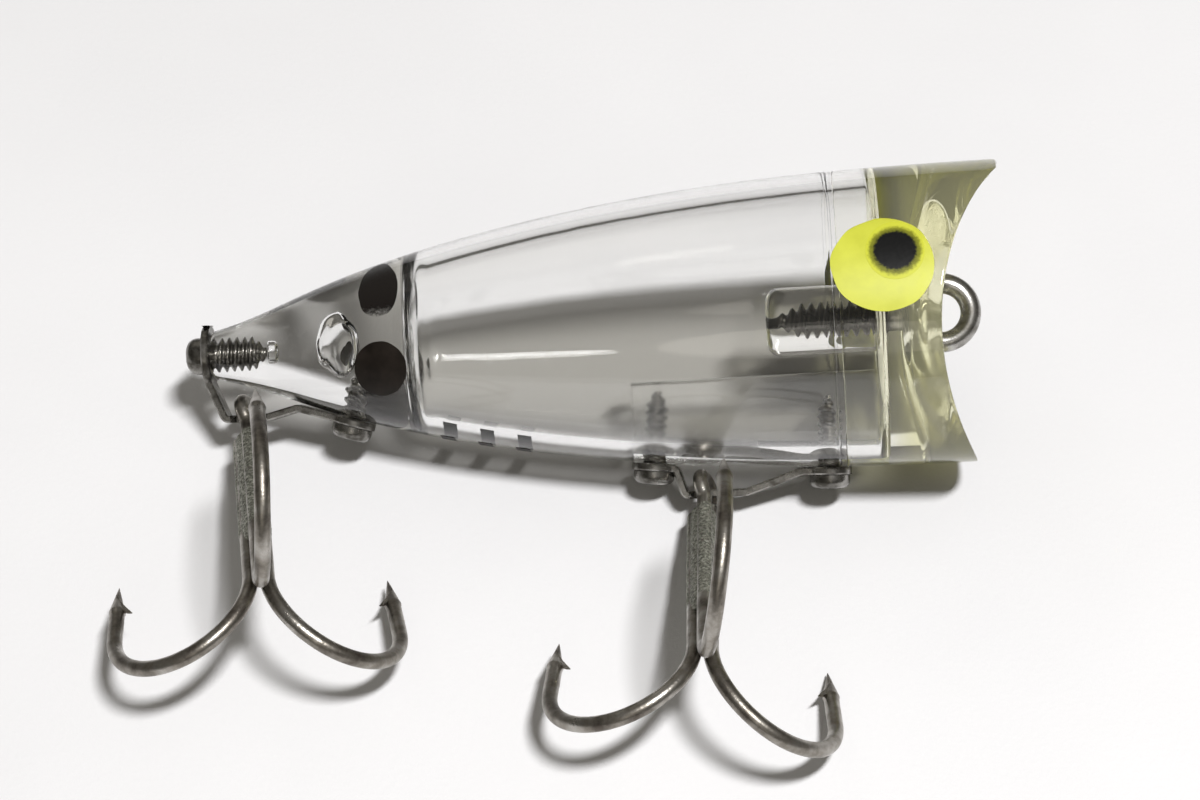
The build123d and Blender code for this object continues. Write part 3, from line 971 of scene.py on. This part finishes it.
def plated_steel(name, darker_patches, lighter_patches):
    """Nickel-plated steel with fine drawing lines and small stains."""
    made, tree, shader = new_material(name)
    shader.inputs["Metallic"].default_value = 1.0
    stains = object_noise(tree, 700.0, 5.0, 0.6)
    # the two colours set the random stains and the overall level; for the strips and screws that level is
    # lowered as painted shade
    feed(tree, shader.inputs["Base Color"], ramp(tree, stains, [(0.38, darker_patches), (0.62, lighter_patches)]))
    feed(tree, shader.inputs["Roughness"], ranged(tree, stains, 0.38, 0.2))
    bumped(tree, shader, object_noise(tree, 6000.0, 2.0), 0.000008)
    return made


def tie_steel():
    """Polished steel ring, with a much darker colour on the threaded shank inside the head."""
    made = plated_steel("tie_steel", (0.20, 0.19, 0.17), (0.50, 0.49, 0.47))
    tree = made.node_tree
    colour = tree.nodes["Principled BSDF"].inputs["Base Color"]
    start, end = TIE_THREAD_FRONT_X * MM - 0.0003, TIE_THREAD_FRONT_X * MM + 0.0003
    share = ranged(tree, along_axis(tree, nose_axis), 0.0, 1.0, start, end)
    # the threaded shank inside the head is coloured near black
    feed(tree, colour, mixed(tree, share, (0.055, 0.052, 0.046), colour.links[0].from_socket))
    return made


def hook_steel():
    """Bronzed hook wire, browned and slightly pitted."""
    made, tree, shader = new_material("hook_steel")
    shader.inputs["Metallic"].default_value = 1.0
    patches = object_noise(tree, 420.0, 5.0, 0.62)
    browns = [(0.34, (0.12, 0.105, 0.09)), (0.5, (0.26, 0.24, 0.21)), (0.68, (0.44, 0.42, 0.39))]
    feed(tree, shader.inputs["Base Color"], ramp(tree, patches, browns))
    feed(tree, shader.inputs["Roughness"], ranged(tree, patches, 0.44, 0.26))
    bumped(tree, shader, object_noise(tree, 3500.0, 3.0), 0.00002)
    return made


def braze_metal():
    """Dull olive-grey braze with dark pits and rubbed bright specks."""
    made, tree, shader = new_material("braze")
    shader.inputs["Metallic"].default_value = 0.75
    lumps = object_noise(tree, 4200.0, 4.0, 0.7)
    greys = [(0.36, (0.07, 0.07, 0.055)), (0.5, (0.21, 0.21, 0.175)), (0.66, (0.46, 0.46, 0.39))]
    feed(tree, shader.inputs["Base Color"], ramp(tree, lumps, greys))
    feed(tree, shader.inputs["Roughness"], ranged(tree, lumps, 0.7, 0.42))
    bumped(tree, shader, lumps, 0.00006)
    return made


def paint_colour(tree, base, spread):
    """A paint colour that varies a little, from specks and uneven thickness, and its noise."""
    texture = object_noise(tree, 500.0, 4.0, 0.6)
    darker = tuple(c * (1 - spread) for c in base)
    lighter = tuple(min(1.0, c * (1 + spread)) for c in base)
    return ramp(tree, texture, [(0.35, darker), (0.65, lighter)]), texture


def yellow_paint(name, side):
    """Lemon-yellow sprayed enamel, with painted shade: a darker olive on its face towards the plastic."""
    made, tree, shader = new_material(name)
    colour, texture = paint_colour(tree, YELLOW, 0.05)
    # painted shade for the face towards the plastic, which lies in shadow
    shaded_yellow, _ = paint_colour(tree, YELLOW_UNDERSIDE_PAINTED_SHADE, 0.2)
    normal = tree.nodes.new("ShaderNodeTexCoord").outputs["Normal"]
    outwards = vectors(tree, "DOT_PRODUCT", normal, left_axis * side)["Value"]
    upper_face = computed(tree, "GREATER_THAN", outwards, -0.05)
    feed(tree, shader.inputs["Base Color"], mixed(tree, upper_face, shaded_yellow, colour))
    feed(tree, shader.inputs["Roughness"], ranged(tree, texture, 0.34, 0.5))
    bumped(tree, shader, texture, 0.00001)
    return made


def pupil_paint(name, side):
    """Black airbrushed over the yellow, solid in the middle and fading in fine specks."""
    made, tree, shader = new_material(name)
    shader.inputs["Specular IOR Level"].default_value = DULL_SPECULAR
    middle = LURE @ Vector(flank_point(*PUPIL_CENTRE, side, 0.0))
    away = vectors(tree, "DISTANCE", object_point(tree), middle)["Value"]
    specks = object_noise(tree, 4200.0, 3.0, 0.7)
    scattered = computed(tree, "MULTIPLY_ADD", specks, SPECK_SPREAD, away)
    core, haze = (radius * MM + SPECK_SPREAD / 2 for radius in (PUPIL_CORE, PUPIL_HAZE))
    share = ranged(tree, scattered, 0.0, 1.0, core, haze)
    mid = tuple(c * 0.32 for c in YELLOW)
    colour = ramp(tree, share, [(0.0, BLACK), (0.45, mid), (1.0, YELLOW)], "EASE")
    feed(tree, shader.inputs["Base Color"], colour)
    feed(tree, shader.inputs["Roughness"], ranged(tree, specks, 0.3, 0.42))
    return made


def black_paint():
    """Sprayed black with a faint brown cast."""
    made, tree, shader = new_material("black_paint")
    shader.inputs["Specular IOR Level"].default_value = DULL_SPECULAR
    colour, texture = paint_colour(tree, (0.011, 0.008, 0.006), 0.4)
    feed(tree, shader.inputs["Base Color"], colour)
    feed(tree, shader.inputs["Roughness"], ranged(tree, texture, 0.3, 0.5))
    bumped(tree, shader, texture, 0.00001)
    return made


def faded_black(name):
    """Black airbrushed thinner towards the spot's lower edge, where it breaks into specks."""
    made, tree, shader = new_material(name)
    shader.inputs["Base Color"].default_value = (0.009, 0.007, 0.006, 1.0)
    shader.inputs["Specular IOR Level"].default_value = DULL_SPECULAR
    specks = object_noise(tree, 3600.0, 3.0, 0.7)
    feed(tree, shader.inputs["Roughness"], ranged(tree, specks, 0.3, 0.5))
    level = computed(tree, "MULTIPLY_ADD", specks, FADE_SPREAD, along_axis(tree, back_axis))
    low = (UPPER_SPOT_CENTRE[1] - UPPER_SPOT_SIZE[1] / 2) * MM + FADE_SPREAD / 2
    feed(tree, shader.inputs["Alpha"], ranged(tree, level, 0.0, 1.0, low, low + 0.0009))
    return made


def table_paper():
    """Matt white table top with a faint unevenness."""
    made, tree, shader = new_material("table_top")
    whites = [(0.3, (0.78, 0.775, 0.785)), (0.7, (0.83, 0.825, 0.835))]
    feed(tree, shader.inputs["Base Color"], ramp(tree, object_noise(tree, 14.0, 4.0, 0.6), whites))
    shader.inputs["Roughness"].default_value = 0.75
    bumped(tree, shader, object_noise(tree, 1800.0, 4.0, 0.7), 0.00003)
    return made


# ---------------------------------------------------------------- build the lure

# painted shade: the strips' and screws' steel gets darker colours than the line tie's, standing in for the
# shadow under the body
SHADED_STEEL = plated_steel("bright_steel", (0.08, 0.075, 0.065), (0.33, 0.32, 0.30))
HOOK = hook_steel()
BRAZE = braze_metal()
TIE_STEEL = tie_steel()
BLACK_PAINT = black_paint()
BODY_PLASTIC = clear_plastic(
    "clear_plastic", (0.985, 0.985, 0.98), (0.84, 0.835, 0.815), (1.0, 1.0, 1.0), 0.0
)
HEAD_PLASTIC = clear_plastic(
    "clear_head_plastic", (0.985, 0.985, 0.965), (0.85, 0.845, 0.82), (0.97, 0.95, 0.62), 0.15
)

belly_places = [belly_matrix(x) @ Matrix.Translation((0, 0, STRIP)) for x in BELLY_SCREWS_X]
tail_place = belly_matrix(TAIL_SCREW_X) @ Matrix.Translation((0, 0, STRIP))
end_place = Matrix.Translation((-STRIP, 0, 0)) @ Matrix.Rotation(radians(-90), 4, "Y")


shell = joined(
    loft(body_shell_rings()),
    bubble(BUBBLE_CENTRE, BUBBLE_RADII, 4.0),
    pilot_end(end_place, END_SCREW_DEPTH),
)
piece("clear_body", shell, BODY_PLASTIC, "lure", ["body_shell"], sharp_above=25.0)
head = loft(head_rings())
piece("clear_head", head, HEAD_PLASTIC, "lure", ["head_cup"], sharp_above=25.0)
piece("screw_eye", line_tie_solid(), TIE_STEEL, "lure", ["line_tie"])

rear_x, front_x = BELLY_SCREWS_X
hinge_x, hinge_z = belly_hinge.x, belly_hinge.z
belly_corners = [
    on_belly(rear_x, -PAD_RADIUS),
    on_belly(rear_x, 1.75),
    (hinge_x - 1.75, hinge_z),
    (hinge_x + 3.2, hinge_z),
    on_belly(front_x, -2.2),
    on_belly(front_x, PAD_RADIUS),
]
belly_strip = strip_solid(
    belly_corners,
    [(on_belly(rear_x), PAD_RADIUS), (on_belly(front_x), PAD_RADIUS)],
    [(hinge_x, hinge_z)],
)
piece("belly_strip", belly_strip, SHADED_STEEL, "lure", ["belly_hanger"])

hinge_x, hinge_z = tail_hinge.x, tail_hinge.z
tail_corners = [
    (-STRIP / 2, TAB_RADIUS),
    (-STRIP / 2, -TAIL_RADIUS - 0.3),
    (hinge_x - 1.9, hinge_z),
    (hinge_x + 1.6, hinge_z),
    on_belly(TAIL_SCREW_X, -4.6),
    on_belly(TAIL_SCREW_X, PAD_RADIUS),
]
tail_strip = strip_solid(
    tail_corners,
    [((-STRIP / 2, 0.0), TAB_RADIUS), (on_belly(TAIL_SCREW_X), PAD_RADIUS)],
    [(hinge_x, hinge_z)],
)
piece("tail_strip", tail_strip, SHADED_STEEL, "lure", ["tail_hanger"])

belly_screw = screw(*PAN_HEAD, BELLY_SCREW_DEPTH)
for end, place in zip(("rear", "front"), belly_places):
    node = f"belly_screw_{end}"
    piece(f"{node}_threaded", placed(belly_screw, place), SHADED_STEEL, "lure", [node])
tail_screw = placed(screw(*PAN_HEAD, TAIL_SCREW_DEPTH), tail_place)
piece("tail_belly_screw_threaded", tail_screw, SHADED_STEEL, "lure", ["tail_belly_screw"])
end_screw = placed(screw(*END_HEAD, END_SCREW_DEPTH), end_place)
piece("tail_end_screw_threaded", end_screw, SHADED_STEEL, "lure", ["tail_end_screw"])

double = joined(hook_arm(EYE_BOTTOM_Z - 0.9, 60), hook_arm(EYE_BOTTOM_Z - 0.9, -60), hook_eye())
single = hook_arm(SINGLE_TOP_Z, 180)
braze = braze_solid()
for where, hinge, swing, lean, twist in (
    ("belly", belly_hinge, BELLY_SWING, 0.0, BELLY_TWIST),
    ("tail", tail_hinge, TAIL_SWING, TAIL_LEAN, TAIL_TWIST),
):
    turn = Matrix.Rotation(radians(-swing), 4, "X") @ Matrix.Rotation(radians(lean), 4, "Y")
    turn = turn @ Matrix.Rotation(radians(twist), 4, "Z")
    place = LURE @ Matrix.Translation(hinge) @ turn
    body = f"{where}_hook"
    piece(f"{where}_hook_wires", double, HOOK, body, [f"{where}_hook_double"], place)
    piece(f"{where}_hook_third", single, HOOK, body, [f"{where}_hook_single"], place)
    piece(f"{where}_hook_braze_rough", braze, BRAZE, body, [f"{where}_hook_braze"], place)

for name, side in (("right", -1), ("left", 1)):
    eye = flank_paint(oval(EYE_CENTRE, EYE_SIZE, 0.04, 0.03, 1.0), EYE_CENTRE, side)
    yellow = yellow_paint(f"yellow_paint_{name}", side)
    piece(f"{name}_eye_paint", eye, yellow, "lure", [f"{name}_eye"])
    pupil = flank_paint(oval(PUPIL_CENTRE, PUPIL_SIZE), PUPIL_CENTRE, side)
    pupil = placed(pupil, Matrix.Translation((0, side * PUPIL_LIFT, 0)))
    black = pupil_paint(f"pupil_paint_{name}", side)
    piece(f"{name}_pupil_paint", pupil, black, "lure", [f"{name}_pupil"])
    lower = flank_paint(oval(LOWER_SPOT_CENTRE, LOWER_SPOT_SIZE, 0.0, 0.02, 3.0), LOWER_SPOT_CENTRE, side)
    piece(f"{name}_lower_dot", lower, BLACK_PAINT, "lure", [f"{name}_lower_spot"])
    upper = flank_paint(oval(UPPER_SPOT_CENTRE, UPPER_SPOT_SIZE, 0.0, 0.05, 5.0), UPPER_SPOT_CENTRE, side)
    fade = faded_black(f"faded_black_{name}")
    piece(f"{name}_upper_dot", upper, fade, "lure", [f"{name}_upper_spot"])

bars = joined(*[belly_bar(x) for x in BELLY_BARS_X])
piece("belly_bars_printed", bars, BLACK_PAINT, "lure", ["belly_bars"])

# ---------------------------------------------------------------- table, light and camera

table_mesh = bpy.data.meshes.new("table_top")
steps = np.linspace(-TABLE_HALF, TABLE_HALF, TABLE_STEPS + 1)
table_points = [(x, y, TABLE_Z) for y in steps for x in steps]
corners = [r * len(steps) + c for r in range(TABLE_STEPS) for c in range(TABLE_STEPS)]
table_faces = [(k, k + 1, k + len(steps) + 1, k + len(steps)) for k in corners]
table_mesh.from_pydata(table_points, [], table_faces)
table_top = bpy.data.objects.new("table_top", table_mesh)
bpy.context.scene.collection.objects.link(table_top)
table_mesh.materials.append(table_paper())


def soft_light(name, towards, distance, size, power, colour):
    """A soft panel, of a width and a height, that lights the lure from a direction."""
    data = bpy.data.lights.new(name, "AREA")
    data.shape = "ELLIPSE"
    data.size, data.size_y = size
    data.energy = power
    data.color = colour
    lamp = bpy.data.objects.new(name, data)
    direction = Vector(towards).normalized()
    lamp.location = LIT_POINT + direction * distance
    lamp.rotation_euler = direction.to_track_quat("Z", "Y").to_euler()
    bpy.context.scene.collection.objects.link(lamp)


soft_light("key", (0.24, -0.31, 1.0), 0.75, (0.16, 0.07), 6.0, (1.0, 0.998, 0.998))
soft_light("front_fill", (-0.1, -1.0, 0.62), 0.8, (0.35, 0.35), 0.3, WARM)
soft_light("back_fill", (-0.5, 1.0, 0.9), 0.9, (0.6, 0.6), 0.25, WARM)

world = bpy.data.worlds.new("studio")
world.use_nodes = True
sky = world.node_tree
sky_way = sky.nodes.new("ShaderNodeTexCoord").outputs["Generated"]
height = new_node(sky, "ShaderNodeSeparateXYZ", {}, {0: sky_way}).outputs["Z"]
sky.links.new(ramp(sky, height, SKY), sky.nodes["Background"].inputs["Color"])
sky.nodes["Background"].inputs["Strength"].default_value = SKY_STRENGTH
bpy.context.scene.world = world
bpy.context.scene.view_settings.view_transform = "Standard"

camera_back = Vector((0, -cos(CAMERA_ELEVATION), sin(CAMERA_ELEVATION)))
camera_up = Vector((0, sin(CAMERA_ELEVATION), cos(CAMERA_ELEVATION)))
aim = lure_origin + Vector((TAIL_LEFT_OF_MIDDLE, 0, 0)) - camera_up * TAIL_ABOVE_MIDDLE
camera_data = bpy.data.cameras.new("camera")
camera_data.sensor_width = SENSOR_WIDTH
camera_data.lens = camera_data.sensor_width * CAMERA_DISTANCE / FRAME_WIDTH
camera_data.clip_start = 0.01
camera = bpy.data.objects.new("camera", camera_data)
camera.location = aim + camera_back * CAMERA_DISTANCE
camera.rotation_euler = camera_back.to_track_quat("Z", "Y").to_euler()
bpy.context.scene.collection.objects.link(camera)
bpy.context.scene.camera = camera
